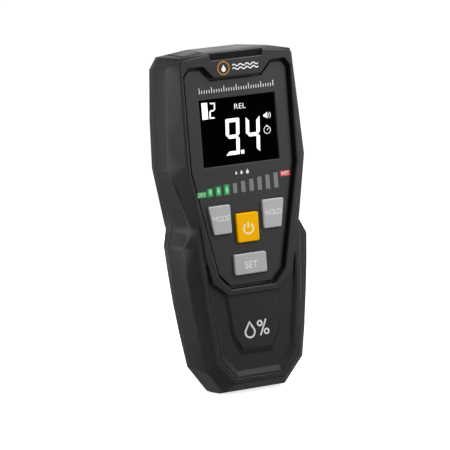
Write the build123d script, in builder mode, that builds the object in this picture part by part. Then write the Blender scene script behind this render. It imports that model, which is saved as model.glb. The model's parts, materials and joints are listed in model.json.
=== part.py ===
"""Hand-held pinless moisture meter.  Millimetres.  Z is up along the housing, the display
faces -Y, and the origin is at the middle of the housing's lowest edge level."""

import os

from build123d import *

os.makedirs("parts", exist_ok=True)

# ---- depths, measured along Y from the front rim to the sensing pad ----
rim_front = -15.5
grip_front = -14.8
panel_front = -13.4
panel_back = -11.8
ledge_back = -9.6
board_front = -8.2
board_back = -6.6
front_shell_back = 2.0
rear_shell_front = 2.3
strip_back = 7.6
rear_face = 13.5
pad_face = 15.5
door_inner = 11.6

# ---- housing ----
wall = 2.4
rear_slope = 38.0
foot = 1.2  # how far the resting end lies below the front face's lower edge

# ---- small parts ----
button_front = -14.55
button_travel = 0.6
button_gap = 0.35
flange_front = -11.6
flange_back = -10.9
stem_back = -9.9
switch_front = -9.2
screw_spots = [(-22.0, 132.0), (22.0, 132.0), (-17.6, 22.0), (17.6, 22.0)]
board_screw_spots = [(-24.2, 110.0), (24.2, 110.0), (-18.4, 66.0), (18.4, 66.0)]
boss_radius = 3.2
screw_radius = 1.15

# ---- outlines: the right-hand corners, from the top round to the bottom, as (x, z) ----
rim_outline = [
    (12.8, 147.3), (26.4, 145.8), (27.1, 144.9), (27.65, 120.0), (27.6, 101.0), (23.1, 73.6),
    (24.2, 64.6), (23.5, 53.0), (22.6, 40.0), (21.2, 26.0), (20.0, 13.3), (11.9, 4.3),
]
crease_outline = [
    (12.8, 147.75), (27.0, 146.6), (30.9, 143.0), (32.35, 120.0), (33.6, 99.8), (26.4, 71.7),
    (30.6, 64.7), (29.7, 53.0), (28.3, 40.0), (26.5, 26.0), (24.1, 11.0), (15.1, -0.2),
]
crease_depth = [-15.1, -14.4, -8.6, -8.5, -8.3, -12.3, -10.8, -10.7, -10.6, -10.5, -10.4, -8.9]
seam_outline = [
    (12.4, 148.8), (27.3, 147.2), (31.0, 142.9), (32.7, 120.0), (33.5, 99.8), (28.1, 72.6),
    (31.2, 65.0), (30.1, 53.0), (28.5, 40.0), (26.6, 26.0), (24.1, 11.0), (15.0, -2.2),
]
strip_outline = [
    (12.0, 149.15), (27.2, 147.4), (30.8, 142.4), (32.6, 120.0), (33.3, 99.8), (29.0, 72.4),
    (30.6, 65.0), (29.7, 53.0), (28.4, 40.0), (26.5, 26.0), (23.9, 10.8), (14.6, -2.2),
]
pocket_outline = [
    (11.4, 137.2), (16.2, 142.5), (23.6, 142.6), (26.0, 139.3),
    (25.9, 97.4), (16.3, 51.3), (10.7, 45.3),
]
panel_outline = [
    (12.5, 136.05), (17.3, 141.2), (22.6, 141.3), (24.8, 138.7),
    (24.6, 97.5), (15.3, 52.2), (10.0, 46.7),
]
step_outline = [
    (36.0, 73.6), (23.15, 73.6), (22.0, 60.6), (20.8, 55.0),
    (19.5, 49.1), (11.9, 42.8),
]
grip_outline = [
    (11.9, 42.7), (19.55, 49.05), (21.35, 58.0), (22.5, 58.0),
    (21.3, 42.0), (18.5, 22.0), (18.0, 15.2), (10.95, 6.3),
]
channel_top = [
    (12.2, 42.4), (19.9, 48.9), (21.5, 57.3), (22.1, 57.3),
    (20.9, 42.0), (18.0, 22.2), (17.5, 15.7), (10.75, 7.0),
]
channel_floor = [
    (12.2, 42.4), (19.9, 48.9), (21.4, 57.0), (21.6, 57.0),
    (20.3, 42.0), (17.4, 22.4), (16.9, 17.6), (10.2, 9.3),
]
plateau_base = [(14.2, 45.5), (12.7, 34.4), (11.9, 25.0), (11.0, 22.0), (7.9, 15.7)]
plateau_top = [(13.0, 45.5), (11.6, 34.4), (10.9, 26.5), (9.2, 22.6), (6.9, 18.6)]
cap_half, cap_floor = 22.4, 146.4
cap_front, cap_back = -9.6, 6.4
cap_gap = 0.25
cap_front_outline = [(12.6, 148.2), (cap_half, 147.35), (cap_half, cap_floor + 0.05)]
cap_seam_outline = [(12.4, 148.95), (cap_half, 147.9), (cap_half, cap_floor + 0.05)]
cap_back_outline = [(12.1, 149.15), (cap_half, 148.05), (cap_half, cap_floor + 0.05)]
board_outline = [
    (18.0, 138.0), (18.0, 127.5), (22.6, 127.5), (22.6, 114.0), (25.9, 114.0), (25.9, 106.0),
    (22.6, 106.0), (22.6, 92.0), (16.4, 86.0), (16.4, 69.5), (20.1, 69.5), (20.1, 62.5),
    (15.4, 62.5), (12.5, 50.0),
]

# ---- display and indicator sizes ----
window_half = 18.5
window_low, window_high = 99.0, 128.25
window_thickness = 0.5
bar_low = 86.6
bar_width = 2.2
bar_pitch = 4.04
bar_first = -16.45
bar_count, lit_bars = 9, 3
bar_heights = [3.1 + 0.455 * i for i in range(bar_count)]
side_button = [(7.8, 82.2), (18.6, 82.2), (16.5, 69.6), (7.85, 69.6)]
power_button_outline = [(5.45, 77.6), (5.3, 64.9)]
set_button_outline = [(7.9, 60.0), (7.9, 50.9)]

# ---- battery ----
battery_half_width = 13.1
battery_front, battery_back = -5.8, 11.2
battery_low, battery_high = 10.2, 56.6
door_half_width = 14.6
door_low, door_high = 10.6, 62.0
door_gap = 0.35


def level(y):
    """The upright plane at depth y, with x to the right and z up."""
    return Plane.XZ.offset(-y)


def both_sides(half):
    """The right-hand corners and their mirror images as one loop."""
    return half + [(-x, z) for x, z in reversed(half)]


def plate(corners, front, back, grow=0.0, radius=0.0, taper=0.0):
    """A flat piece between two depths: the outline grown or shrunk, its corners rounded."""
    with BuildPart() as piece:
        with BuildSketch(level(back)) as face:
            with BuildLine():
                Polyline(*corners, close=True)
            make_face()
            if grow:
                offset(amount=grow, kind=Kind.INTERSECTION)
            if radius:
                fillet(face.vertices(), radius)
        extrude(amount=back - front, taper=taper)
    return piece.part


def block(x_low, x_high, front, back, z_low, z_high):
    """A rectangular block given by its six sides."""
    with BuildPart() as piece:
        with Locations(((x_low + x_high) / 2, (front + back) / 2, (z_low + z_high) / 2)):
            Box(x_high - x_low, back - front, z_high - z_low)
    return piece.part


def rod(x, z, front, back, radius):
    """A round piece along Y."""
    with BuildPart() as piece:
        with BuildSketch(level(back)):
            with Locations((x, z)):
                Circle(radius)
        extrude(amount=back - front)
    return piece.part


def flat_face(points):
    return Face(Wire.make_polygon([Vector(*p) for p in points], close=True))


def side_face(a, b, c, d):
    """The four-cornered side a-b-c-d: flat, or gently twisted where its corners ask for it."""
    normal = (Vector(*b) - Vector(*a)).cross(Vector(*c) - Vector(*a)).normalized()
    if abs(normal.dot(Vector(*d) - Vector(*a))) < 1e-6:
        return flat_face([a, b, c, d])
    return Face.make_surface_from_curves(Edge.make_line(a, b), Edge.make_line(d, c))


def faceted_block(rings):
    """A closed block through rings of right-hand corners (x, y, z), mirrored to the left."""
    faces = []
    for ring in (rings[0], rings[-1]):
        loop = ring + [(-x, y, z) for x, y, z in reversed(ring)]
        faces.append(flat_face(loop))
    for near, far in zip(rings, rings[1:]):
        right = [side_face(near[i], near[i + 1], far[i + 1], far[i])
                 for i in range(len(near) - 1)]
        faces += right + [face.mirror(Plane.YZ) for face in right]
        for end in (0, -1):
            (x1, y1, z1), (x2, y2, z2) = near[end], far[end]
            faces.append(flat_face([(x1, y1, z1), (-x1, y1, z1), (-x2, y2, z2), (x2, y2, z2)]))
    return Solid(Shell(faces))


def cap_pocket():
    """The room that the top cap takes out of both shells and the seal between them."""
    return block(-cap_half - cap_gap, cap_half + cap_gap, cap_front - cap_gap,
                 cap_back + cap_gap, cap_floor, 155)


def ring(outline, depth):
    """Outline corners placed at one depth, or each at its own."""
    depths = depth if isinstance(depth, list) else [depth] * len(outline)
    return [(x, y, z) for (x, z), y in zip(outline, depths)]


def keep(piece, name):
    """Lifts the piece so that the housing rests on z = 0, names it and writes it."""
    lifted = piece.part.moved(Location((0, 0, foot)))
    lifted.label = name
    export_step(lifted, f"parts/{name}.step")


# ---- front shell: faceted housing with the sunken panel pocket ----
with BuildPart() as front_shell:
    add(faceted_block([
        ring(rim_outline, rim_front),
        ring(crease_outline, crease_depth),
        ring(seam_outline, front_shell_back),
    ]))
    add(plate(both_sides([(36.0, -2.0)] + step_outline), rim_front - 1, grip_front),
        mode=Mode.SUBTRACT)
    add(plate(both_sides(grip_outline), rim_front - 1, grip_front + 1.6), mode=Mode.SUBTRACT)
    add(plate(both_sides(pocket_outline), rim_front - 1, panel_back), mode=Mode.SUBTRACT)
    add(plate(both_sides(panel_outline), panel_back - 1, ledge_back + 1, grow=-1.2),
        mode=Mode.SUBTRACT)
    add(plate(both_sides(rim_outline), ledge_back, board_back + 0.1, grow=-1.4),
        mode=Mode.SUBTRACT)
    add(plate(both_sides(crease_outline), board_back + 0.1, front_shell_back + 1, grow=-wall),
        mode=Mode.SUBTRACT)
    add(plate([(-13.1, 148.5), (13.1, 148.5), (12.3, 145.0), (-12.3, 145.0)],
              rim_front - 1, rim_front + 3.0), mode=Mode.SUBTRACT)
    add(cap_pocket(), mode=Mode.SUBTRACT)
    for x, z in screw_spots:
        add(rod(x, z, ledge_back - 0.5, front_shell_back, boss_radius))
    for x, z in board_screw_spots:
        add(rod(x, z, ledge_back - 0.5, board_front, 1.9))
    for x, z in screw_spots:
        add(rod(x, z, -6.0, front_shell_back + 1, screw_radius + 0.05), mode=Mode.SUBTRACT)
    for x, z in board_screw_spots:
        add(rod(x, z, -11.2, board_front + 1, 0.95), mode=Mode.SUBTRACT)
    add(block(-40, 40, -20, 20, -10, -foot), mode=Mode.SUBTRACT)
keep(front_shell, "front_shell")

# ---- rear shell: tapered back with battery bay, screw wells and sensing recess ----
with BuildPart() as rear_shell:
    add(faceted_block([ring(seam_outline, rear_shell_front), ring(strip_outline, strip_back)]))
    add(plate(both_sides(strip_outline), rear_face, strip_back, taper=rear_slope))
    add(plate(both_sides(crease_outline), rear_shell_front - 1, strip_back, grow=-wall),
        mode=Mode.SUBTRACT)
    add(plate(both_sides(crease_outline), door_inner - 0.4, strip_back, grow=-wall - 0.4,
              taper=rear_slope), mode=Mode.SUBTRACT)
    add(block(-16.2, 16.2, rear_shell_front, door_inner + 0.4, 10.0, 64.4))
    add(block(-14.2, 14.2, rear_shell_front - 1, door_inner + 0.5, 9.0, 62.8),
        mode=Mode.SUBTRACT)
    add(block(-14.2, 14.2, rear_shell_front - 1, 5.0, 62.0, 65.0), mode=Mode.SUBTRACT)
    add(block(-door_half_width - door_gap, door_half_width + door_gap,
              rear_shell_front - 1, rear_face + 1, door_low - door_gap, door_high + door_gap),
        mode=Mode.SUBTRACT)
    for x, z in screw_spots:
        add(rod(x, z, rear_shell_front, door_inner, boss_radius))
    for x, z in screw_spots:
        add(rod(x, z, rear_shell_front - 1, rear_face + 1, 1.35), mode=Mode.SUBTRACT)
        add(rod(x, z, 9.6, rear_face + 1, 2.3), mode=Mode.SUBTRACT)
    for x in (-6.0, -2.0, 2.0, 6.0):
        add(block(x - 0.7, x + 0.7, rear_face - 4, rear_face + 1, 72.0, 80.0),
            mode=Mode.SUBTRACT)
    add(block(-16.0, 16.0, rear_face - 1.5, rear_face + 1, 92.0, 136.0), mode=Mode.SUBTRACT)
    add(rod(0.0, 100.0, 10.0, rear_face, 1.0), mode=Mode.SUBTRACT)
    add(cap_pocket(), mode=Mode.SUBTRACT)
    add(block(-40, 40, -20, 20, -10, -foot), mode=Mode.SUBTRACT)
keep(rear_shell, "rear_shell")

# ---- dark cord seal between the two shells ----
with BuildPart() as parting_seal:
    add(plate(both_sides(seam_outline), front_shell_back, rear_shell_front, grow=-0.5))
    add(plate(both_sides(seam_outline), front_shell_back - 1, rear_shell_front + 1, grow=-1.5),
        mode=Mode.SUBTRACT)
    add(cap_pocket(), mode=Mode.SUBTRACT)
    add(block(-40, 40, -20, 20, -10, 0.4 - foot), mode=Mode.SUBTRACT)
keep(parting_seal, "parting_seal")

# ---- soft grip pad: border, sunken channel and raised middle ----
with BuildPart() as grip_pad:
    add(plate(both_sides(grip_outline), grip_front, grip_front + 1.6, grow=-0.05))
    add(faceted_block([ring(channel_top, grip_front - 0.001),
                       ring(channel_floor, grip_front + 1.0)]), mode=Mode.SUBTRACT)
    add(faceted_block([ring(plateau_top, grip_front), ring(plateau_base, grip_front + 1.05)]))
    add(plate(both_sides(grip_outline), grip_front - 1, grip_front + 1.6, grow=-0.05),
        mode=Mode.INTERSECT)
keep(grip_pad, "grip_pad")

# ---- smoked inlay across the front top edge ----
with BuildPart() as top_inlay:
    add(plate([(-12.9, 147.7), (12.9, 147.7), (12.25, 145.05), (-12.25, 145.05)],
              rim_front + 1.0, rim_front + 2.95))
keep(top_inlay, "top_inlay")

# ---- smooth cap let into the top, across both shells ----
with BuildPart() as top_cap:
    add(faceted_block([ring(cap_front_outline, cap_front), ring(cap_seam_outline, 2.15),
                       ring(cap_back_outline, cap_back)]))
keep(top_cap, "top_cap")

# ---- buttons: outline of each cap, the hole it needs and its flange ----
power_corners = [(-x, z) for x, z in power_button_outline] + power_button_outline[::-1]
set_corners = [(-x, z) for x, z in set_button_outline] + set_button_outline[::-1]
mode_corners = [(-x, z) for x, z in side_button]
button_outlines = {
    "mode_button": mode_corners,
    "hold_button": side_button,
    "power_button": power_corners,
    "set_button": set_corners,
}
bar_starts = [bar_first + i * bar_pitch for i in range(bar_count)]


def bar(i, front, back, grow=0.0):
    x = bar_starts[i]
    return block(x - bar_width / 2 - grow, x + bar_width / 2 + grow, front, back,
                 bar_low - grow, bar_low + bar_heights[i] + grow)


# ---- face panel with display, indicator and button openings ----
with BuildPart() as front_panel:
    add(plate(both_sides(panel_outline), panel_front, panel_back))
    add(block(-window_half, window_half, panel_front - 1, panel_back + 1,
              window_low, window_high), mode=Mode.SUBTRACT)
    for corners in button_outlines.values():
        add(plate(corners, panel_front - 1, panel_back + 1, grow=button_gap, radius=1.25),
            mode=Mode.SUBTRACT)
    for i in range(bar_count):
        add(bar(i, panel_front - 1, panel_back + 1), mode=Mode.SUBTRACT)
keep(front_panel, "front_panel")

with BuildPart() as display_window:
    add(block(-window_half + 0.05, window_half - 0.05, panel_back - window_thickness, panel_back,
              window_low + 0.05, window_high - 0.05))
keep(display_window, "display_window")

# ---- nine indicator bars, the lit ones apart from the dark ones ----
with BuildPart() as lit_bars_part:
    for i in range(lit_bars):
        add(bar(i, panel_front - 0.1, panel_back, grow=-0.03))
keep(lit_bars_part, "lit_bars")

with BuildPart() as dark_bars:
    for i in range(lit_bars, len(bar_heights)):
        add(bar(i, panel_front - 0.1, panel_back, grow=-0.03))
keep(dark_bars, "dark_bars")


def button(corners, stem_x, stem_z):
    """A cap with a rounded front edge, a flange behind the panel and a stem to its switch."""
    with BuildPart() as cap:
        add(plate(corners, button_front, flange_front, radius=0.9))
        fillet(cap.faces().sort_by(Axis.Y)[0].edges(), 0.45)
        add(plate(corners, flange_front, flange_back, grow=0.75, radius=1.2))
        add(rod(stem_x, stem_z, flange_back, stem_back, 1.6))
    return cap.part


stem_spots = {
    "mode_button": (-12.6, 75.8),
    "hold_button": (12.6, 75.8),
    "power_button": (0.0, 71.2),
    "set_button": (0.0, 55.6),
}
for name, corners in button_outlines.items():
    with BuildPart() as cap_part:
        add(button(corners, *stem_spots[name]))
    keep(cap_part, name)

# ---- display stack behind the window ----
with BuildPart() as display_glass:
    add(block(-19.2, 19.2, -11.7, -10.7, 97.6, 129.6))
    add(block(-19.2, 19.2, -10.7, -9.8, 95.4, 129.6))
keep(display_glass, "display_glass")

with BuildPart() as display_backlight:
    add(block(-19.2, 19.2, -9.7, -8.3, 99.0, 129.6))
    fillet(display_backlight.edges().filter_by(Axis.Y), 0.8)
keep(display_backlight, "display_backlight")

with BuildPart() as contact_strip:
    add(block(-17.5, 17.5, -9.75, board_front, 95.8, 98.2))
    fillet(contact_strip.edges().filter_by(Axis.X), 0.4)
keep(contact_strip, "contact_strip")

# ---- circuit board and what is soldered to it ----
with BuildPart() as main_board:
    add(plate(both_sides(board_outline), board_front, board_back))
    for x, z in board_screw_spots:
        add(rod(x, z, board_front - 1, board_back + 1, 1.0), mode=Mode.SUBTRACT)
keep(main_board, "main_board")

with BuildPart() as board_screws:
    for x, z in board_screw_spots:
        add(rod(x, z, -10.9, board_back + 0.3, 0.9))
        add(rod(x, z, board_back, board_back + 1.1, 1.7))
        add(block(x - 1.3, x + 1.3, board_back + 0.6, board_back + 2, z - 0.25, z + 0.25),
            mode=Mode.SUBTRACT)
        add(block(x - 0.25, x + 0.25, board_back + 0.6, board_back + 2, z - 1.3, z + 1.3),
            mode=Mode.SUBTRACT)
keep(board_screws, "board_screws")

with BuildPart() as key_switches:
    for x, z in stem_spots.values():
        add(block(x - 2.25, x + 2.25, board_front - 0.6, board_front, z - 2.25, z + 2.25))
        add(rod(x, z, switch_front, board_front - 0.3, 1.2))
keep(key_switches, "key_switches")

with BuildPart() as indicator_lights:
    for i, x in enumerate(bar_starts):
        z = bar_low + bar_heights[i] / 2
        add(block(x - 0.8, x + 0.8, board_front - 0.8, board_front, z - 1.2, z + 1.2))
keep(indicator_lights, "indicator_lights")

with BuildPart() as controller_chip:
    add(block(-5.0, 5.0, board_back + 0.15, board_back + 1.65, 100.0, 110.0))
    add(rod(-3.6, 108.6, board_back + 1.5, board_back + 3, 0.5), mode=Mode.SUBTRACT)
    for k in range(8):
        for side in (-1, 1):
            at_x = side * 5.35
            add(block(at_x - 0.45, at_x + 0.45, board_back, board_back + 0.5,
                      101.2 + k * 1.05, 101.6 + k * 1.05))
keep(controller_chip, "controller_chip")

with BuildPart() as board_parts:
    for k in range(5):
        add(block(9.0, 11.0, board_back, board_back + 0.9, 99.0 + k * 3, 100.2 + k * 3))
        add(block(-12.0, -9.8, board_back, board_back + 0.7, 97.5 + k * 3, 98.7 + k * 3))
keep(board_parts, "board_parts")

with BuildPart() as capacitors:
    for x, z in [(16.0, 119.0), (8.5, 120.0)]:
        add(rod(x, z, board_back, board_back + 7.0, 2.5))
    fillet(capacitors.edges().filter_by(GeomType.CIRCLE).group_by(Axis.Y)[-1], 0.3)
keep(capacitors, "capacitors")

with BuildPart() as buzzer:
    add(rod(0.0, 76.0, board_back, board_back + 6.0, 6.0))
    fillet(buzzer.edges().filter_by(GeomType.CIRCLE), 0.4)
    add(rod(0.0, 76.0, board_back + 3.0, board_back + 7.0, 1.0), mode=Mode.SUBTRACT)
keep(buzzer, "buzzer")

# ---- sensing pad on the back, with its electrode and lead ----
with BuildPart() as sensor_pad:
    add(block(-18.4, 18.4, rear_face, pad_face, 90.0, 138.0))
    fillet(sensor_pad.edges().filter_by(Axis.Y), 4.0)
    chamfer(sensor_pad.faces().sort_by(Axis.Y)[-1].edges(), 0.8)
    add(block(-15.9, 15.9, rear_face - 0.6, rear_face + 0.1, 92.1, 135.9))
keep(sensor_pad, "sensor_pad")

with BuildPart() as sensor_plate:
    add(block(-15.0, 15.0, rear_face - 1.2, rear_face - 0.7, 93.0, 135.0))
    fillet(sensor_plate.edges().filter_by(Axis.Y), 2.0)
keep(sensor_plate, "sensor_plate")

# ---- battery with its two terminals, snap, leads and door ----
with BuildPart() as battery:
    add(block(-battery_half_width, battery_half_width, battery_front, battery_back,
              battery_low, battery_high))
    fillet(battery.edges().filter_by(Axis.Z), 2.4)
    chamfer(battery.edges().filter_by(Axis.Z, reverse=True), 0.4)
keep(battery, "battery")

terminal_y = (battery_front + battery_back) / 2
with BuildPart() as battery_terminals:
    with BuildSketch(Plane.XY.offset(battery_high)):
        with Locations((-6.35, terminal_y)):
            Circle(2.8)
        with Locations((6.35, terminal_y)):
            RegularPolygon(3.9, 6)
    extrude(amount=2.2)
keep(battery_terminals, "battery_terminals")

with BuildPart() as battery_snap:
    add(block(-10.8, 10.8, terminal_y - 5.4, terminal_y + 5.4, battery_high + 0.3, 60.8))
    fillet(battery_snap.edges().filter_by(Axis.Z), 2.5)
    add(block(-11.5, -1.5, terminal_y - 4.2, terminal_y + 4.2, 50.0, battery_high + 2.6),
        mode=Mode.SUBTRACT)
    add(block(1.5, 11.5, terminal_y - 4.2, terminal_y + 4.2, 50.0, battery_high + 2.6),
        mode=Mode.SUBTRACT)
keep(battery_snap, "battery_snap")


def lead(points, leaving, radius=0.55):
    """A round lead through the points, leaving the first one in the given direction."""
    with BuildPart() as piece:
        with BuildLine() as path:
            Spline(*points, tangents=[leaving, (0, -1, 0)])
        with BuildSketch(Plane(path.line @ 0, z_dir=path.line % 0)):
            Circle(radius)
        sweep()
    return piece.part


def battery_lead(x):
    top = (x, terminal_y, 60.9)
    return lead([top, (1.05 * x, 0.5, 64.6), (1.1 * x, board_back + 0.1, 65.6)], (0, 0, 1))


with BuildPart() as red_lead:
    add(battery_lead(7.0))
keep(red_lead, "red_lead")

with BuildPart() as black_lead:
    add(battery_lead(-7.0))
keep(black_lead, "black_lead")

with BuildPart() as sensor_lead:
    add(lead([(0.0, rear_face - 1.3, 100.0), (0.5, 4.0, 96.5),
              (0.0, board_back + 0.1, 93.0)], (0, -1, 0), radius=0.5))
keep(sensor_lead, "sensor_lead")

with BuildPart() as battery_door:
    add(block(-door_half_width, door_half_width, door_inner, rear_face, door_low, door_high))
    fillet(battery_door.edges().filter_by(Axis.Y), 1.0)
    for k in range(4):
        add(block(-6.0, 6.0, rear_face - 0.6, rear_face + 1, 50.0 + k * 2.2, 51.0 + k * 2.2),
            mode=Mode.SUBTRACT)
keep(battery_door, "battery_door")

with BuildPart() as door_foam:
    add(block(-9.0, 9.0, battery_back + 0.05, door_inner, 20.0, 48.0))
keep(door_foam, "door_foam")

# ---- four long screws that close the housing ----
with BuildPart() as shell_screws:
    for x, z in screw_spots:
        add(rod(x, z, -5.8, 8.2, screw_radius))
        add(rod(x, z, 7.9, 9.5, 1.25))
        add(rod(x, z, 9.65, 11.2, 2.1))
        add(rod(x, z, 9.4, 9.8, 1.25))
        add(block(x - 1.5, x + 1.5, 10.4, 12.0, z - 0.3, z + 0.3), mode=Mode.SUBTRACT)
        add(block(x - 0.3, x + 0.3, 10.4, 12.0, z - 1.5, z + 1.5), mode=Mode.SUBTRACT)
keep(shell_screws, "shell_screws")
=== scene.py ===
# %% [markdown]
# # A hand-held moisture meter
# This notebook dresses a finished CAD model of a pinless moisture meter: a faceted two-shell
# housing of black ABS, a sunken grey face panel, a lit display, a row of indicator bars and four
# push buttons.  The CAD parts are already the right size and in the right place, so this script
# adds what they lack: surface finish, printing, display segments, light and a camera.

# %% load the CAD parts
import json
import math

import bmesh
import bpy
from mathutils import Matrix, Vector


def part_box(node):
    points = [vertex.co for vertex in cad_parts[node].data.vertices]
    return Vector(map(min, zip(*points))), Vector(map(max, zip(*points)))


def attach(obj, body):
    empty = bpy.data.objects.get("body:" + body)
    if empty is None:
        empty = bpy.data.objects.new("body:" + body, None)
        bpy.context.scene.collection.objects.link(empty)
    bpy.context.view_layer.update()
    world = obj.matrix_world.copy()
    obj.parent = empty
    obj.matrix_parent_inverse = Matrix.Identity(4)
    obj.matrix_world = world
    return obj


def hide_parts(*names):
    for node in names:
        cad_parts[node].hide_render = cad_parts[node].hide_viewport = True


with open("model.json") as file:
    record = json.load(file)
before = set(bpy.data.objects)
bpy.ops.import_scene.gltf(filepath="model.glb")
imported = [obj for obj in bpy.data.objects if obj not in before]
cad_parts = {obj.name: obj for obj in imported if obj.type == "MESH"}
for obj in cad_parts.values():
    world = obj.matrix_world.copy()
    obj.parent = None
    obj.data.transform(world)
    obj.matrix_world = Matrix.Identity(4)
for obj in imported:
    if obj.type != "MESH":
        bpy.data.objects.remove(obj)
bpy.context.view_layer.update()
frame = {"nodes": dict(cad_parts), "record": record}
nodes = frame["nodes"]
mm = 0.001

# %% [markdown]
# ## Camera
# The meter stands upright and is seen from its left, a little from above, with the camera rolled
# a few degrees so that the meter leans.  A long lens from well over a metre keeps the edges
# nearly parallel, as in a catalogue picture.

# %% camera
azimuth, elevation, roll = math.radians(-26.97), math.radians(6.96), math.radians(4.45)
target = Vector((-9.07, -10.47, 74.25)) * mm
distance = 1404.5 * mm

back = Vector((math.sin(azimuth) * math.cos(elevation),
               -math.cos(azimuth) * math.cos(elevation),
               math.sin(elevation)))
right = Vector((math.cos(azimuth), math.sin(azimuth), 0))
up = back.cross(right)
side_axis = right * math.cos(roll) - up * math.sin(roll)
up_axis = right * math.sin(roll) + up * math.cos(roll)

camera = bpy.data.objects.new("camera", bpy.data.cameras.new("camera"))
camera.matrix_world = Matrix((
    (side_axis.x, up_axis.x, back.x, target.x + distance * back.x),
    (side_axis.y, up_axis.y, back.y, target.y + distance * back.y),
    (side_axis.z, up_axis.z, back.z, target.z + distance * back.z),
    (0, 0, 0, 1)))
camera.data.sensor_width = 36
camera.data.lens = 259.5
camera.data.clip_end = 20
bpy.context.scene.collection.objects.link(camera)
bpy.context.scene.camera = camera
print("camera at", [round(v, 3) for v in camera.matrix_world.translation])

# %% [markdown]
# ## Colour and node helpers
# Colours are written as the sRGB hex values a paint chart would give and turned to the linear
# values that shaders work in.  One helper adds any node: its type, its settings, its links.

# %% colour and node helpers
def linear(hex_colour):
    """An sRGB hex colour such as #2A2B2D as linear RGBA."""
    digits = hex_colour.lstrip("#")
    srgb = [int(digits[i:i + 2], 16) / 255 for i in (0, 2, 4)]
    return [c / 12.92 if c <= 0.04045 else ((c + 0.055) / 1.055) ** 2.4 for c in srgb] + [1.0]


def add_node(tree, kind, settings=None, links=None):
    """Adds one node.  settings holds attributes and socket values, links holds socket: source."""
    node = tree.nodes.new("ShaderNode" + kind)
    for name, value in (settings or {}).items():
        if isinstance(name, str) and hasattr(node, name):
            setattr(node, name, value)
        else:
            node.inputs[name].default_value = value
    for name, source in (links or {}).items():
        tree.links.new(source, node.inputs[name])
    return node


def new_material(name):
    """An empty material with its output node, and the tree to build it in."""
    material = bpy.data.materials.new(name)
    material.use_nodes = True
    tree = material.node_tree
    tree.nodes.clear()
    return material, tree, tree.nodes.new("ShaderNodeOutputMaterial")


print("mid grey is", [round(c, 3) for c in linear("#808080")[:3]])

# %% [markdown]
# ## Moulded plastics
# Most of a meter is injection-moulded ABS.  The steel mould is spark-eroded, which leaves a fine
# matt grain of about 0.1 mm.  That is too fine to show from this distance, so the grain is drawn
# at 0.35 mm and kept shallow.  Handling polishes the plastic unevenly, so a slow cloud about a
# centimetre across varies the roughness and, very slightly, the colour.  A mould's edges are
# never sharp: a bevel shader rounds them by a fraction of a millimetre, and where it bends the
# surface the colour is painted lighter, a painted edge highlight with a little rubbing wear.

# %% moulded plastic
def moulded_plastic(name, colour, roughness, grain_mm=0.35, grain_depth=0.02, cloud=0.08,
                    specular=0.5, edge_mm=0.4, rub_and_highlight=0.25):
    """Injection-moulded plastic: even colour, eroded grain, handling polish, edges painted lighter
    as highlight and wear.
    """
    material, tree, output = new_material(name)
    place = add_node(tree, "TexCoord")
    grain = add_node(tree, "TexNoise", {"Scale": 1 / (grain_mm * mm), "Detail": 2.0},
                     {"Vector": place.outputs["Object"]})
    handling = add_node(tree, "TexNoise", {"Scale": 1 / (11 * mm), "Detail": 3.0},
                        {"Vector": place.outputs["Object"]})
    base = linear(colour)[:3]
    tone = add_node(tree, "Mix", {"data_type": "RGBA",
                                  6: [c * (1 - cloud) for c in base] + [1],
                                  7: [min(1, c * (1 + cloud)) for c in base] + [1]},
                    {0: handling.outputs["Fac"]})
    rounded = add_node(tree, "Bevel", {"samples": 6, "Radius": edge_mm * mm})
    flat = add_node(tree, "NewGeometry")
    agree = add_node(tree, "VectorMath", {"operation": "DOT_PRODUCT"},
                     {0: rounded.outputs["Normal"], 1: flat.outputs["Normal"]})
    # Where the bevelled normal leaves the flat one, the colour is painted lighter: a painted edge
    # highlight, with a little rubbing wear.
    edge = add_node(tree, "MapRange", {"From Min": 0.99, "From Max": 0.85, "To Max": rub_and_highlight},
                    {"Value": agree.outputs["Value"]})
    worn_and_highlit = add_node(tree, "Mix", {"data_type": "RGBA",
                                  7: [min(1, c * 1.8 + 0.02) for c in base] + [1]},
                    {0: edge.outputs["Result"], 6: tone.outputs[2]})
    gloss = add_node(tree, "MapRange", {"To Min": roughness - 0.06, "To Max": roughness + 0.06},
                     {"Value": handling.outputs["Fac"]})
    bump = add_node(tree, "Bump", {"Strength": 0.35, "Distance": grain_depth * mm},
                    {"Height": grain.outputs["Fac"], "Normal": rounded.outputs["Normal"]})
    shader = add_node(tree, "BsdfPrincipled", {"IOR": 1.53, "Specular IOR Level": specular},
                      {"Base Color": worn_and_highlit.outputs[2], "Roughness": gloss.outputs["Result"],
                       "Normal": bump.outputs["Normal"]})
    tree.links.new(shader.outputs["BSDF"], output.inputs["Surface"])
    return material


abs_black = moulded_plastic("moulded_ABS_black", "#181819", 0.42)
abs_black_rear = moulded_plastic("moulded_ABS_black_rear", "#171718", 0.44)
abs_panel = moulded_plastic("moulded_ABS_charcoal_panel", "#232324", 0.5, edge_mm=0.2)
abs_silver = moulded_plastic("sprayed_ABS_silver", "#B4B5B6", 0.45, cloud=0.03, rub_and_highlight=0.4)
abs_amber = moulded_plastic("sprayed_ABS_amber", "#FFB900", 0.55, cloud=0.02, rub_and_highlight=0.1,
                            specular=0.06)
# Smoked plastic for the top inlay; its near-black colour is also painted shade for the sunken slot
# it lies in.
abs_smoked_and_shaded = moulded_plastic("moulded_ABS_smoked_with_painted_shade", "#060607", 0.6, grain_depth=0.004,
                             specular=0.15)
abs_polished = moulded_plastic("polished_ABS_cap", "#1A1A1B", 0.36, grain_depth=0.004)
pad_nylon = moulded_plastic("moulded_glass_filled_nylon_pad", "#1C1C1E", 0.38, grain_mm=0.6,
                            grain_depth=0.03)
tpe_grip = moulded_plastic("overmoulded_TPE_grip", "#19191A", 0.5, grain_mm=0.45,
                           grain_depth=0.035, specular=0.42)
seal_nitrile = moulded_plastic("moulded_nitrile_seal", "#0A0A0A", 0.6)
print("plastics for the outside made")

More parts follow.
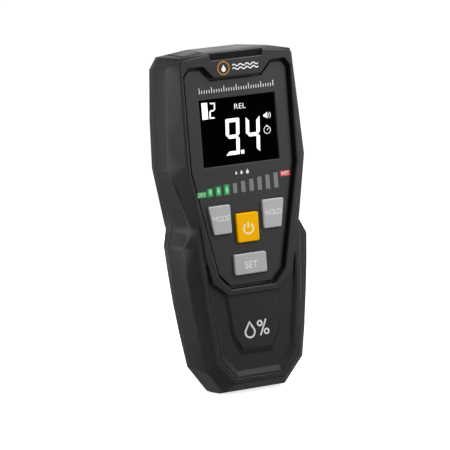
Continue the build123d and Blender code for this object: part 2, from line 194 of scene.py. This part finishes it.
# %% [markdown]
# ## Glass, printing and light
# The display is a negative liquid crystal: black glass with clear segments that the light guide
# shines through, modelled as thin plates of light.  A thin coated acrylic window lies over it,
# made nearly clear rather than refracting, which keeps the black free of bright specks.  Behind
# each lit bar is a lamp, so a bar is brightest in its middle.  The printed legends are pad-printed
# ink, a dense matt film that stands 0.03 mm proud.

# %% glass, ink and lamps
def plain_surface(name, colour, roughness, mottle_mm=2.0, mottle=0.06, **sockets):
    """A surface whose colour and gloss vary a little in patches of a real size."""
    material, tree, output = new_material(name)
    place = add_node(tree, "TexCoord")
    patch = add_node(tree, "TexNoise", {"Scale": 1 / (mottle_mm * mm), "Detail": 3.0},
                     {"Vector": place.outputs["Object"]})
    base = linear(colour)[:3]
    tone = add_node(tree, "Mix", {"data_type": "RGBA",
                                  6: [c * (1 - mottle) for c in base] + [1],
                                  7: [min(1, c * (1 + mottle)) for c in base] + [1]},
                    {0: patch.outputs["Fac"]})
    gloss = add_node(tree, "MapRange", {"To Min": max(0.0, roughness - 0.04),
                                        "To Max": roughness + 0.04},
                     {"Value": patch.outputs["Fac"]})
    shader = add_node(tree, "BsdfPrincipled", sockets,
                      {"Base Color": tone.outputs[2], "Roughness": gloss.outputs["Result"]})
    tree.links.new(shader.outputs["BSDF"], output.inputs["Surface"])
    return material


def lamp_surface(name, core, rim, strength, size_mm):
    """A lit piece: brighter in the middle of each patch of the given size than at its rim."""
    material, tree, output = new_material(name)
    place = add_node(tree, "TexCoord")
    glow = add_node(tree, "TexNoise", {"Scale": 1 / (size_mm * mm), "Detail": 1.0},
                    {"Vector": place.outputs["Object"]})
    tone = add_node(tree, "Mix", {"data_type": "RGBA", 6: linear(rim), 7: linear(core)},
                    {0: glow.outputs["Fac"]})
    shader = add_node(tree, "BsdfPrincipled",
                      {"Roughness": 0.35, "Emission Strength": strength, "IOR": 1.49},
                      {"Base Color": tone.outputs[2], "Emission Color": tone.outputs[2]})
    tree.links.new(shader.outputs["BSDF"], output.inputs["Surface"])
    return material


acrylic = plain_surface("coated_acrylic_window", "#0B0C0C", 0.06, mottle=0.01,
                        **{"Alpha": 0.05, "IOR": 1.49, "Specular IOR Level": 0.2})
black_crystal = plain_surface("negative_liquid_crystal_glass", "#010101", 0.2,
                              **{"IOR": 1.52, "Specular IOR Level": 0.0})
segment_light = lamp_surface("lit_display_segments", "#FFFFFF", "#EEF2F6", 1.0, 6.0)
bar_grey = plain_surface("diffusing_polycarbonate_grey", "#787979", 0.4, mottle=0.1, IOR=1.58)
bar_halo = lamp_surface("glow_in_the_panel_film", "#1C6338", "#1C6338", 0.6, 1.6)
bar_pitch, first_bar, bar_middle = 4.04, -16.45, 89.7  # spacing, first bar, height of the lamps


def lit_bar_surface(name, core, rim, strength):
    """A lamp behind each bar: bright in the bar's middle, dimmer towards its edges."""
    material, tree, output = new_material(name)
    place = add_node(tree, "TexCoord")
    lamps = add_node(tree, "TexWave",
                     {"wave_type": "BANDS", "bands_direction": "X",
                      "Scale": math.tau / 20 / (bar_pitch * mm),
                      "Phase Offset": math.pi - math.tau * first_bar / bar_pitch},
                     {"Vector": place.outputs["Object"]})
    across = add_node(tree, "MapRange", {"From Min": 0.5, "From Max": 0.98},
                      {"Value": lamps.outputs["Fac"]})
    position = add_node(tree, "SeparateXYZ", {}, {"Vector": place.outputs["Object"]})
    above = add_node(tree, "Math", {"operation": "SUBTRACT", 1: bar_middle * mm},
                     {0: position.outputs["Z"]})
    height = add_node(tree, "Math", {"operation": "ABSOLUTE"}, {0: above.outputs[0]})
    upright = add_node(tree, "MapRange", {"From Min": 0.4 * mm, "From Max": 2.2 * mm,
                                          "To Min": 1.0, "To Max": 0.0},
                       {"Value": height.outputs[0]})
    spread = add_node(tree, "Math", {"operation": "MULTIPLY"},
                      {0: across.outputs["Result"], 1: upright.outputs["Result"]})
    tone = add_node(tree, "Mix", {"data_type": "RGBA", 6: linear(rim), 7: linear(core)},
                    {0: spread.outputs[0]})
    shader = add_node(tree, "BsdfPrincipled",
                      {"Roughness": 0.4, "Emission Strength": strength, "IOR": 1.58},
                      {"Base Color": tone.outputs[2], "Emission Color": tone.outputs[2]})
    tree.links.new(shader.outputs["BSDF"], output.inputs["Surface"])
    return material


bar_green = lit_bar_surface("lit_indicator_green", "#7DDC9B", "#17783A", 0.2)
ink_white = plain_surface("pad_printed_white_ink", "#E9EAEA", 0.5, mottle=0.03)
ink_cream = plain_surface("pad_printed_cream_ink", "#FFF0C0", 0.5, mottle=0.03)
ink_gold = plain_surface("pad_printed_gold_ink", "#C98A1E", 0.38, mottle=0.12, Metallic=0.35)
ink_green = plain_surface("pad_printed_green_ink", "#35A85C", 0.5, mottle=0.05)
ink_red = plain_surface("pad_printed_red_ink", "#DE3236", 0.5, mottle=0.05)
print("glass, lamps and inks made")

# %% [markdown]
# ## What is inside
# The inside only shows when the battery door is off, but every piece has its own finish:
# solder-masked glass fibre with copper tracks under it, zinc-plated screws, a drawn aluminium can
# on each capacitor, a printed steel jacket on the battery, PVC-sleeved leads and open-cell foam.

# %% inside finishes
def board_laminate(name):
    """Glass-fibre board: green solder mask over a grid of copper tracks 1.2 mm apart."""
    material, tree, output = new_material(name)
    place = add_node(tree, "TexCoord")
    tracks = add_node(tree, "TexBrick", {"Scale": 1 / (4.8 * mm), "Mortar Size": 0.045,
                                         "Color1": linear("#0B4A26"), "Color2": linear("#0D5029"),
                                         "Mortar": linear("#2C7A3A")},
                      {"Vector": place.outputs["Object"]})
    weave = add_node(tree, "TexNoise", {"Scale": 1 / (0.6 * mm)},
                     {"Vector": place.outputs["Object"]})
    bump = add_node(tree, "Bump", {"Strength": 0.2, "Distance": 0.03 * mm},
                    {"Height": weave.outputs["Fac"]})
    shader = add_node(tree, "BsdfPrincipled", {"Roughness": 0.3, "IOR": 1.5},
                      {"Base Color": tracks.outputs["Color"], "Normal": bump.outputs["Normal"]})
    tree.links.new(shader.outputs["BSDF"], output.inputs["Surface"])
    return material


def striped(name, first, second, stripe_mm, axis, roughness, **sockets):
    """Two colours in stripes of a real width along one axis."""
    material, tree, output = new_material(name)
    place = add_node(tree, "TexCoord")
    bands = add_node(tree, "TexWave", {"wave_type": "BANDS", "bands_direction": axis,
                                       "Scale": 0.314 / (stripe_mm * mm) / 2},
                     {"Vector": place.outputs["Object"]})
    tone = add_node(tree, "ValToRGB", links={"Fac": bands.outputs["Fac"]})
    tone.color_ramp.elements[0].position, tone.color_ramp.elements[1].position = 0.45, 0.55
    tone.color_ramp.elements[0].color = linear(first)
    tone.color_ramp.elements[1].color = linear(second)
    shader = add_node(tree, "BsdfPrincipled", {"Roughness": roughness, **sockets},
                      {"Base Color": tone.outputs["Color"]})
    tree.links.new(shader.outputs["BSDF"], output.inputs["Surface"])
    return material


inside = {
    "main_board": board_laminate("solder_masked_glass_fibre"),
    "contact_strip": striped("zebra_contact_silicone", "#1A1A1A", "#C9A3A0", 0.4, "X", 0.6),
    "display_backlight": plain_surface("moulded_polycarbonate_light_guide", "#E8E8E2", 0.3),
    "display_glass": black_crystal,
    "key_switches": plain_surface("moulded_PBT_switch", "#1B1B1C", 0.5),
    "indicator_lights": plain_surface("moulded_epoxy_lamp", "#E4DFC0", 0.3),
    "controller_chip": plain_surface("moulded_epoxy_chip", "#151516", 0.55, mottle_mm=0.6),
    "board_parts": plain_surface("fired_ceramic_parts", "#8E7350", 0.45, mottle_mm=1.0),
    "capacitors": plain_surface("drawn_aluminium_can", "#B9BABC", 0.3, Metallic=1.0),
    "buzzer": plain_surface("moulded_PBT_buzzer", "#121213", 0.45),
    "board_screws": plain_surface("zinc_plated_steel", "#B4B6B4", 0.32, 1.0, 0.1, Metallic=1.0),
    "shell_screws": plain_surface("black_zinc_plated_steel", "#5E5F60", 0.36, 1.0, 0.12,
                                  Metallic=1.0),
    "sensor_plate": plain_surface("rolled_copper_foil", "#C5764A", 0.28, 3.0, 0.1,
                                  Metallic=1.0),
    "battery": striped("printed_steel_battery_jacket", "#1D2023", "#B2762C", 30.0, "Z", 0.32,
                       **{"Metallic": 0.4}),
    "battery_terminals": plain_surface("nickel_plated_terminals", "#C9C6BE", 0.22,
                                       Metallic=1.0),
    "battery_snap": plain_surface("moulded_PVC_snap", "#161617", 0.5),
    "red_lead": plain_surface("red_PVC_sleeve", "#A81414", 0.4),
    "black_lead": plain_surface("black_PVC_sleeve", "#101010", 0.4),
    "sensor_lead": plain_surface("white_PVC_sleeve", "#D9D8D2", 0.4),
    "door_foam": moulded_plastic("open_cell_PU_foam", "#3A3A3D", 0.85, grain_mm=0.9,
                                 grain_depth=0.25, rub_and_highlight=0.0),
}
outside = {
    "front_shell": abs_black, "rear_shell": abs_black_rear, "battery_door": abs_black_rear,
    "parting_seal": seal_nitrile, "grip_pad": tpe_grip, "front_panel": abs_panel,
    "top_inlay": abs_smoked_and_shaded, "top_cap": abs_polished, "sensor_pad": pad_nylon,
    "mode_button": abs_silver, "hold_button": abs_silver, "set_button": abs_silver,
    "power_button": abs_amber,
    "display_window": acrylic, "lit_bars": bar_green, "dark_bars": bar_grey,
}
for name, material in {**inside, **outside}.items():
    nodes[name].data.materials.clear()
    nodes[name].data.materials.append(material)
print(len(inside) + len(outside), "of", len(nodes), "CAD nodes have their own finish")

# %% [markdown]
# ## Rounded mouldings
# The CAD pieces have mathematically sharp edges, and a moulded part never has: the mould is cut
# with a ball-nosed tool and polished.  The two shells, the grip pad, the face panel and the top
# cap are therefore rebuilt from their CAD meshes with their outside edges rounded to a real
# radius.  The bevel goes only on convex edges that face the front or the sides, and only where
# both faces are wide enough: on a narrow face the bevel would run past the far side and fold the
# mesh.  Each piece prints how many folds are left.

# %% round the outside edges
body_of = {node: body for body, names in frame["record"]["behaviour"]["bodies"].items()
           for node in names}
clear_reach, clear_strip = 2.5, 1.5  # how wide a face must be, in bevel radii
folded = math.radians(150)           # two faces that meet at more than this lie on each other


def roomy(edge, radius):
    """Whether both faces at an edge are wide enough for it to be rounded without folding."""
    start, along = edge.verts[0].co, (edge.verts[1].co - edge.verts[0].co).normalized()
    for face in edge.link_faces:
        reach = max((v.co - start - along * (v.co - start).dot(along)).length
                    for v in face.verts)
        strip = 2 * face.calc_area() / face.calc_perimeter()
        if reach < clear_reach * radius or strip < clear_strip * radius:
            return False
    return True


def rounded(node, radius_mm, wanted=None, whole_ring=False, segments=3, shortest_mm=1.2,
            sharpest=12):
    """Stands in for a CAD piece with the same shape, its outer convex edges rounded.

    wanted may narrow the choice: it is given an edge's middle in mm and says yes or no.
    whole_ring keeps every chosen edge, for a closed ring that must be rounded all the way."""
    mesh = bmesh.new()
    mesh.from_mesh(nodes[node].data)
    bmesh.ops.remove_doubles(mesh, verts=mesh.verts, dist=1e-7)
    bmesh.ops.dissolve_limit(mesh, angle_limit=math.radians(0.6), verts=mesh.verts,
                             edges=mesh.edges)
    chosen = []
    for edge in mesh.edges:
        if len(edge.link_faces) != 2 or edge.calc_length() < shortest_mm * mm:
            continue
        angle = math.degrees(edge.calc_face_angle_signed(0))
        outward = edge.link_faces[0].normal + edge.link_faces[1].normal
        middle = (edge.verts[0].co + edge.verts[1].co) / 2 / mm
        if wanted and not wanted(middle):
            continue
        if (angle > sharpest and outward.y < 0.6 * outward.length
                and (whole_ring or roomy(edge, radius_mm * mm))):
            chosen.append(edge)
    bmesh.ops.bevel(mesh, geom=chosen, offset=radius_mm * mm, offset_type="OFFSET",
                    segments=segments, profile=0.5, affect="EDGES", clamp_overlap=False)
    bmesh.ops.dissolve_degenerate(mesh, dist=1e-6, edges=mesh.edges)
    folds = sum(edge.is_manifold and edge.calc_face_angle() > folded for edge in mesh.edges)
    open_edges = sum(not edge.is_manifold for edge in mesh.edges)
    data = bpy.data.meshes.new(node + "_moulding")
    mesh.to_mesh(data)
    mesh.free()
    data.materials.append(nodes[node].data.materials[0])
    piece = bpy.data.objects.new(node + "_moulding", data)
    bpy.context.scene.collection.objects.link(piece)
    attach(piece, body_of[node])
    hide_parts(node)
    print(node, len(chosen), "edges rounded,", folds, "folds,", open_edges, "open edges")


rounded("front_shell", 0.4)
seam_edge = 2.6  # mm: the rim where the shells meet stays crisp, as a mould's parting edge is
rounded("rear_shell", 0.3, lambda at: at.y > seam_edge)
grip_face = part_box("grip_pad")[0].y / mm
plateau_half, plateau_low, plateau_high = 13.1, 15.0, 43.0  # mm: round the pad's raised middle
rounded("grip_pad", 0.25, lambda at: abs(at.x) < plateau_half and abs(at.y - grip_face) < 0.05
        and plateau_low < at.z < plateau_high, whole_ring=True)
rounded("front_panel", 0.25)
rounded("top_cap", 0.3)

# %% [markdown]
# ## Thin printed and lit shapes
# Printing, segments and symbols are flat outlines given a little thickness.  Each is a closed
# plate, drawn in millimetres as (x, z) corners as seen from the front, and placed at a depth.
# The tables below measure z from the face panel's own datum, which sits a foot's height above
# the resting end.

# %% plates from outlines
foot = 1.2  # mm


def stroke(points, width, closed=False):
    """A band of even width along a line of (x, z) points, as four-cornered outlines."""
    count = len(points)
    edges = []
    for i, (x, z) in enumerate(points):
        before = points[(i - 1) % count] if closed or i else points[0]
        after = points[(i + 1) % count] if closed or i < count - 1 else points[-1]
        along = Vector((after[0] - before[0], after[1] - before[1])).normalized()
        across = Vector((-along.y, along.x)) * width / 2
        edges.append(((x + across.x, z + across.y), (x - across.x, z - across.y)))
    last = count if closed else count - 1
    return [[edges[i][0], edges[(i + 1) % count][0], edges[(i + 1) % count][1], edges[i][1]]
            for i in range(last)]


def arc(cx, cz, radius, start, stop, steps=40):
    """Points on an arc, angles in degrees counted anticlockwise from the right."""
    angles = [math.radians(start + (stop - start) * i / steps) for i in range(steps + 1)]
    return [(cx + radius * math.cos(a), cz + radius * math.sin(a)) for a in angles]


def drop(cx, cz, radius):
    """A water drop: a round bottom drawn up to a point at the top."""
    return arc(cx, cz, radius, 145, 395, 30) + [(cx + 0.35 * radius, cz + 1.35 * radius),
                                               (cx, cz + 2.0 * radius),
                                               (cx - 0.35 * radius, cz + 1.35 * radius)]


def finished(piece, material, body):
    """Gives a printed or lit piece its surface, as the one material on its mesh, and its body."""
    piece.data.materials.clear()
    piece.data.materials.append(material)
    bpy.context.scene.collection.objects.link(piece)
    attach(piece, body)


def plates(name, outlines, front, thickness, material, body):
    """A piece made of flat outlines, each a closed plate whose front lies at a depth."""
    mesh = bmesh.new()
    for outline in outlines:
        mesh.faces.new([mesh.verts.new((x * mm, front * mm, (z + foot) * mm))
                        for x, z in outline])
    bmesh.ops.remove_doubles(mesh, verts=mesh.verts, dist=1e-6)
    drawn = bmesh.ops.extrude_face_region(mesh, geom=mesh.faces[:])["geom"]
    for vertex in [part for part in drawn if isinstance(part, bmesh.types.BMVert)]:
        vertex.co.y += thickness * mm
    bmesh.ops.recalc_face_normals(mesh, faces=mesh.faces)
    open_edges = sum(not edge.is_manifold for edge in mesh.edges)
    data = bpy.data.meshes.new(name)
    mesh.to_mesh(data)
    mesh.free()
    print(name, len(data.polygons), "faces,", open_edges, "open edges")
    finished(bpy.data.objects.new(name, data), material, body)


def lettering(name, words, box, front, material, body, bold=0.0, thickness=0.03):
    """Words fitted into a box (x low, x high, z low, z high) and turned into a solid mesh."""
    curve = bpy.data.curves.new(name, "FONT")
    curve.body, curve.size, curve.offset, curve.extrude = words, 1.0, bold, 0.5
    curve.resolution_u = 6
    holder = bpy.data.objects.new(name + "_font", curve)
    bpy.context.scene.collection.objects.link(holder)
    bpy.context.view_layer.update()
    data = bpy.data.meshes.new_from_object(holder.evaluated_get(
        bpy.context.evaluated_depsgraph_get()))
    bpy.data.objects.remove(holder)
    xs, ys = [v.co.x for v in data.vertices], [v.co.y for v in data.vertices]
    x_low, x_high, z_low, z_high = box
    for v in data.vertices:
        x = x_low + (v.co.x - min(xs)) / (max(xs) - min(xs)) * (x_high - x_low)
        z = z_low + (v.co.y - min(ys)) / (max(ys) - min(ys)) * (z_high - z_low)
        v.co = Vector((x, front + (0.5 - v.co.z) * thickness, z + foot)) * mm
    mesh = bmesh.new()
    mesh.from_mesh(data)
    bmesh.ops.remove_doubles(mesh, verts=mesh.verts, dist=1e-6)
    bmesh.ops.recalc_face_normals(mesh, faces=mesh.faces)
    open_edges = sum(not edge.is_manifold for edge in mesh.edges)
    mesh.to_mesh(data)
    mesh.free()
    print(name, len(data.polygons), "faces,", open_edges, "open edges")
    finished(bpy.data.objects.new(name, data), material, body)


print("a 2 mm ring has", len(stroke(arc(0, 0, 1, 0, 360)[:-1], 0.2, True)), "outlines")

# %% [markdown]
# ## Display
# Each figure is a seven-segment digit.  The segments are mitred where they meet, with a hairline
# between them, as the etched electrodes of a real display are, and the figures lean a little to
# the right.

# %% seven-segment digits
SEGMENTS = {"2": "abged", "4": "fgbc", "9": "abcdfg"}


def digit(figure, x, z, width, height, thick, gap, lean=0.06):
    """The lit segments of one figure, its lower left corner at (x, z)."""
    half, top, middle = thick / 2, height, height / 2
    bars = {
        "a": [(gap, top), (thick + gap, top - thick), (width - thick - gap, top - thick),
              (width - gap, top)],
        "d": [(gap, 0), (width - gap, 0), (width - thick - gap, thick), (thick + gap, thick)],
        "g": [(half + gap, middle), (thick + gap, middle - half),
              (width - thick - gap, middle - half), (width - half - gap, middle),
              (width - thick - gap, middle + half), (thick + gap, middle + half)],
        "f": [(0, top - gap), (0, middle + half + gap), (half, middle + gap),
              (thick, middle + half + gap), (thick, top - thick - gap)],
        "e": [(0, gap), (thick, thick + gap), (thick, middle - half - gap),
              (half, middle - gap), (0, middle - half - gap)],
    }
    bars["b"] = [(width - across, up) for across, up in bars["f"]]
    bars["c"] = [(width - across, up) for across, up in bars["e"]]
    return [[(x + across + lean * up, z + up) for across, up in bars[name]]
            for name in SEGMENTS[figure]]


def box_outline(x_low, x_high, z_low, z_high):
    return [(x_low, z_low), (x_high, z_low), (x_high, z_high), (x_low, z_high)]


# %% what the display shows
glass_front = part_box("display_glass")[0].y / mm
segment_front, film = glass_front - 0.06, 0.05
reading = digit("9", -6.5, 103.05, 6.7, 15.75, 1.6, 0.12)
reading += digit("4", 3.4, 103.05, 6.75, 15.6, 1.6, 0.12)
reading += [box_outline(0.85, 2.4, 103.1, 104.7)]
plates("display_reading", reading, segment_front, film, segment_light, "housing")

cell, row, hairline = 1.35, 2.33, 0.1
block_x, block_z = -16.6, 119.7
store = digit("2", -13.15, 119.75, 2.75, 6.8, 0.58, 0.06)
for i in range(2):
    for k in range(3):
        x, z = block_x + i * (cell + hairline), block_z + k * (row + hairline)
        store.append(box_outline(x, x + cell, z, z + row))
plates("display_store_number", store, segment_front, film, segment_light, "housing")

speaker = [[(13.1, 117.8), (13.9, 117.8), (14.9, 116.9), (14.9, 119.8), (13.9, 118.9),
            (13.1, 118.9)]]
speaker += stroke(arc(14.6, 118.35, 1.15, -48, 48, 10), 0.17)
speaker += stroke(arc(14.6, 118.35, 1.95, -42, 42, 14), 0.17)
plates("display_sound_symbol", speaker, segment_front, film, segment_light, "housing")

clock = stroke(arc(14.4, 112.0, 1.6, 0, 360)[:-1], 0.18, closed=True)
clock += stroke([(14.35, 111.9), (15.1, 112.75)], 0.2)
clock += [box_outline(14.1, 14.65, 113.75, 114.1)]
plates("display_clock_symbol", clock, segment_front, film, segment_light, "housing")
lettering("display_mode_word", "REL", (-0.75, 4.75, 122.7, 124.9), segment_front,
          segment_light, "housing", bold=-0.02, thickness=film)
print("display reads 9.4")

# %% glow round the lit bars
bars_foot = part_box("lit_bars")[0].z / mm - foot
lit_count, half_bar, shortest_bar, bar_step = 3, 1.07, 3.05, 0.455
glow_reach, glow_film = 0.4, 0.02
halos = []
for i in range(lit_count):
    bar_x = first_bar + i * bar_pitch
    bar_top = bars_foot + shortest_bar + bar_step * i
    halos.append(box_outline(bar_x - half_bar - glow_reach, bar_x + half_bar + glow_reach,
                             bars_foot - glow_reach, bar_top + glow_reach))
plates("bar_glow", halos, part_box("front_panel")[0].y / mm - glow_film, glow_film, bar_halo,
       "housing")

# %% [markdown]
# ## Printed marks
# The face carries a few plain marks: a drop in a gold ring and two waves on the tab, a fine
# graduated scale over the display and three drops under it, a green and a red flag at the ends
# of the bars, and the usual word on each button.  The grip has a plain drop and percent sign.

# %% marks on the face
panel_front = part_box("front_panel")[0].y / mm
rim_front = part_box("front_shell")[0].y / mm
cap_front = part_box("set_button")[0].y / mm
ink = 0.03

plates("emblem_ring", stroke(arc(-6.5, 141.2, 2.75, 0, 360)[:-1], 0.45, closed=True),
       rim_front - ink, ink, ink_gold, "housing")
plates("emblem_drop", [drop(-6.5, 140.6, 1.05)], rim_front - ink, ink, ink_white, "housing")
wave_start, wave_step, wave_height, wave_pace = -2.2, 0.2, 0.42, 1.99
waves = []
for level in (141.9, 140.4):
    line = [(wave_start + wave_step * i,
             level + wave_height * math.sin(wave_step * i * wave_pace)) for i in range(64)]
    waves += stroke(line, 0.5)
plates("emblem_waves", waves, rim_front - ink, ink, ink_white, "housing")

tick_start, tick_pitch, half_tick = -18.0, 1.2, 0.17
tick_foot, tick_top, long_tick_top = 131.0, 132.4, 133.5
ticks = []
for k in range(31):
    x = tick_start + tick_pitch * k
    ticks.append(box_outline(x - half_tick, x + half_tick, tick_foot,
                             long_tick_top if k % 5 == 0 else tick_top))
plates("scale_over_display", ticks, panel_front - ink, ink, ink_white, "housing")
plates("drops_under_display", [drop(x, 95.1, size) for x, size in ((-3.2, 0.5), (-0.6, 0.62),
                                                                   (2.3, 0.75))],
       panel_front - ink, ink, ink_white, "housing")
plates("dry_flag", [box_outline(-22.7, -18.35, 86.45, 88.9)], panel_front - ink, ink,
       ink_green, "housing")
plates("wet_flag", [box_outline(18.15, 23.05, 91.2, 93.6)], panel_front - ink, ink,
       ink_red, "housing")
lettering("dry_word", "DRY", (-22.3, -18.75, 86.95, 88.45), panel_front - 2 * ink, ink_white,
          "housing", bold=-0.01)
lettering("wet_word", "WET", (18.6, 22.6, 91.6, 93.2), panel_front - 2 * ink, ink_white,
          "housing", bold=0.01)

# %% marks on the buttons and the grip
lettering("mode_word", "MODE", (-16.5, -8.5, 75.3, 77.7), cap_front - ink, ink_white,
          "mode_key")
lettering("hold_word", "HOLD", (9.2, 16.9, 75.3, 77.7), cap_front - ink, ink_white,
          "hold_key")
lettering("set_word", "SET", (-3.0, 3.4, 53.4, 56.5), cap_front - ink, ink_white,
          "set_key", bold=0.01)
power = stroke(arc(0.1, 70.7, 2.3, 125, 415), 0.75)
power += stroke([(0.1, 71.0), (0.1, 73.6)], 0.75)
plates("power_symbol", power, cap_front - ink, ink, ink_cream, "power_key")

percent = stroke(arc(1.9, 28.9, 1.05, 0, 360)[:-1], 0.75, closed=True)
percent += stroke(arc(5.0, 25.0, 1.05, 0, 360)[:-1], 0.75, closed=True)
percent += stroke([(1.9, 23.5), (5.0, 30.4)], 0.75)
plates("moisture_symbol", stroke(drop(-3.1, 25.6, 2.3), 0.8, closed=True) + percent,
       grip_face - ink, ink, ink_white, "housing")
print("marks printed")

# %% [markdown]
# ## Studio
# The meter stands on a light table: white acrylic lit from below, which stays white and takes
# hardly any shadow.  Black plastic shows what it reflects rather than its own colour, so each
# facet is drawn by a soft box of its own: the main one high on the right in front, two on the
# left for the side and its bevels, one low on the right for the lower edges, and one behind for
# the back.  Between them the room is dim, which keeps the front-left bevels dark.  The table
# shines for the camera only, so that it does not light the meter from below.

# %% floor
floor_mesh = bpy.data.meshes.new("floor")
half_side = 9  # metres: far past the edges of every view
floor_mesh.from_pydata([(-half_side, -half_side, 0), (half_side, -half_side, 0),
                        (half_side, half_side, 0), (-half_side, half_side, 0)],
                       [], [(0, 1, 2, 3)])
floor = bpy.data.objects.new("floor", floor_mesh)
bpy.context.scene.collection.objects.link(floor)
floor.visible_glossy = floor.visible_diffuse = False
table = plain_surface("lit_acrylic_table", "#FBFBFA", 0.8, 30.0, 0.004,
                      **{"Emission Color": (1, 1, 1, 1)})
table.cycles.emission_sampling = "NONE"
table_glow = 0.78
table_tree = table.node_tree
camera_glow = add_node(table_tree, "Math", {"operation": "MULTIPLY", 1: table_glow},
                       {0: add_node(table_tree, "LightPath").outputs["Is Camera Ray"]})
principled = next(node for node in table_tree.nodes if node.type == "BSDF_PRINCIPLED")
table_tree.links.new(camera_glow.outputs[0], principled.inputs["Emission Strength"])
floor_mesh.materials.append(table)

# %% light
world = bpy.data.worlds.new("studio")
bpy.context.scene.world = world
world.use_nodes = True
sky = world.node_tree
sky.nodes.clear()
ray = add_node(sky, "LightPath")
room = add_node(sky, "Background", {"Color": (1, 1, 1, 1), "Strength": 0.28})
backdrop = add_node(sky, "Background", {"Color": (1, 1, 1, 1), "Strength": 1.0})
seen = add_node(sky, "MixShader", links={0: ray.outputs["Is Camera Ray"],
                                         1: room.outputs[0], 2: backdrop.outputs[0]})
sky.links.new(seen.outputs[0], add_node(sky, "OutputWorld").inputs["Surface"])

aim = Vector((0, 0, 85)) * mm  # a little above the meter's middle


def softbox(name, azimuth, elevation, distance, size, watts):
    """A square soft box that faces the meter; azimuth 0 is straight in front, + to the right."""
    side, rise = math.radians(azimuth), math.radians(elevation)
    lamp = bpy.data.lights.new(name, "AREA")
    lamp.shape, lamp.size, lamp.energy = "SQUARE", size, watts
    piece = bpy.data.objects.new(name, lamp)
    piece.location = aim + distance * Vector((math.sin(side) * math.cos(rise),
                                                 -math.cos(side) * math.cos(rise),
                                                 math.sin(rise)))
    piece.rotation_euler = (aim - piece.location).to_track_quat("-Z", "Y").to_euler()
    piece.visible_camera = False
    bpy.context.scene.collection.objects.link(piece)


softbox("main_softbox", 38, 48, 0.3, 0.28, 1.05)
softbox("left_softbox", -85, 5, 0.45, 0.35, 0.36)
softbox("left_rear_softbox", -115, 5, 0.45, 0.35, 0.52)
softbox("low_right_softbox", 50, -8, 0.45, 0.15, 0.44)
softbox("back_softbox", 168, 2, 0.6, 0.4, 1.0)
bpy.context.scene.view_settings.view_transform = "Standard"
print("studio lit")
